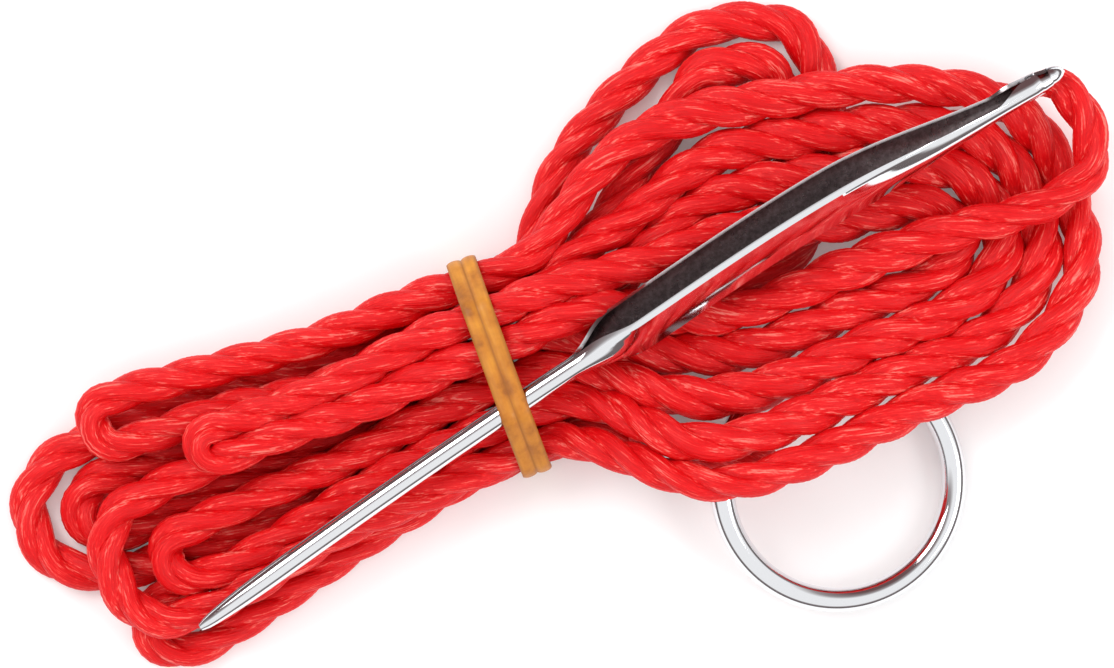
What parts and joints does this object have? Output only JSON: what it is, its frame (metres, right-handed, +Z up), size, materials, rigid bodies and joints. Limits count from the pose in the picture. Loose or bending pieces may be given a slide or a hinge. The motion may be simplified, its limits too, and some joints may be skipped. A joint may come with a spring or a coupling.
{
  "type": "fish stringer",
  "caption": "Twisted red cord wound into a hank under a rubber band, with a crimped steel ring at one end and a rolled steel needle at the other, for threading and holding caught fish.",
  "frame": {"origin": "on the ground under the middle of the needle, the ring and the rubber band", "axes": "+X along the hank from its free loop ends to the ring's side, +Y across it away from the ring, +Z up"},
  "size_m": [0.1434, 0.0756, 0.0176],
  "materials": {
    "cord": "twisted polypropylene",
    "plated_steel": "bright plated",
    "crimp_steel": "dull",
    "band_rubber": "amber"
  },
  "bodies": {
    "hank": {"cord_hank": "cord", "ring_lead": "cord", "needle_lead": "cord"},
    "ring_end": {"ring_eye": "cord", "ring_crimp": "crimp_steel"},
    "ring": {"ring": "plated_steel"},
    "needle": {"needle": "plated_steel"},
    "band": {"rubber_band": "band_rubber"}
  },
  "joints": [
    {"name": "eye_bend", "type": "hinge", "parent": "hank", "child": "ring_end", "pos_m": [-0.00244, 0.00076, 0.0022], "axis": [0.5, 0.866, 0], "range_deg": [0, 60], "deforming": ["ring_lead"]},
    {"name": "ring_turn", "type": "hinge", "parent": "ring_end", "child": "ring", "pos_m": [0.01837, -0.0127, 0.00385], "axis": [0.1327, -0.0929, 0.9868], "continuous": true},
    {"name": "needle_slide", "type": "slide", "parent": "hank", "child": "needle", "axis": [0.9745, 0.2232, 0.0249], "range_m": [0, 0.012], "deforming": ["needle_lead"]},
    {"name": "band_slide", "type": "slide", "parent": "hank", "child": "band", "axis": [1, 0, 0], "range_m": [-0.002, 0.002]}
  ]
}
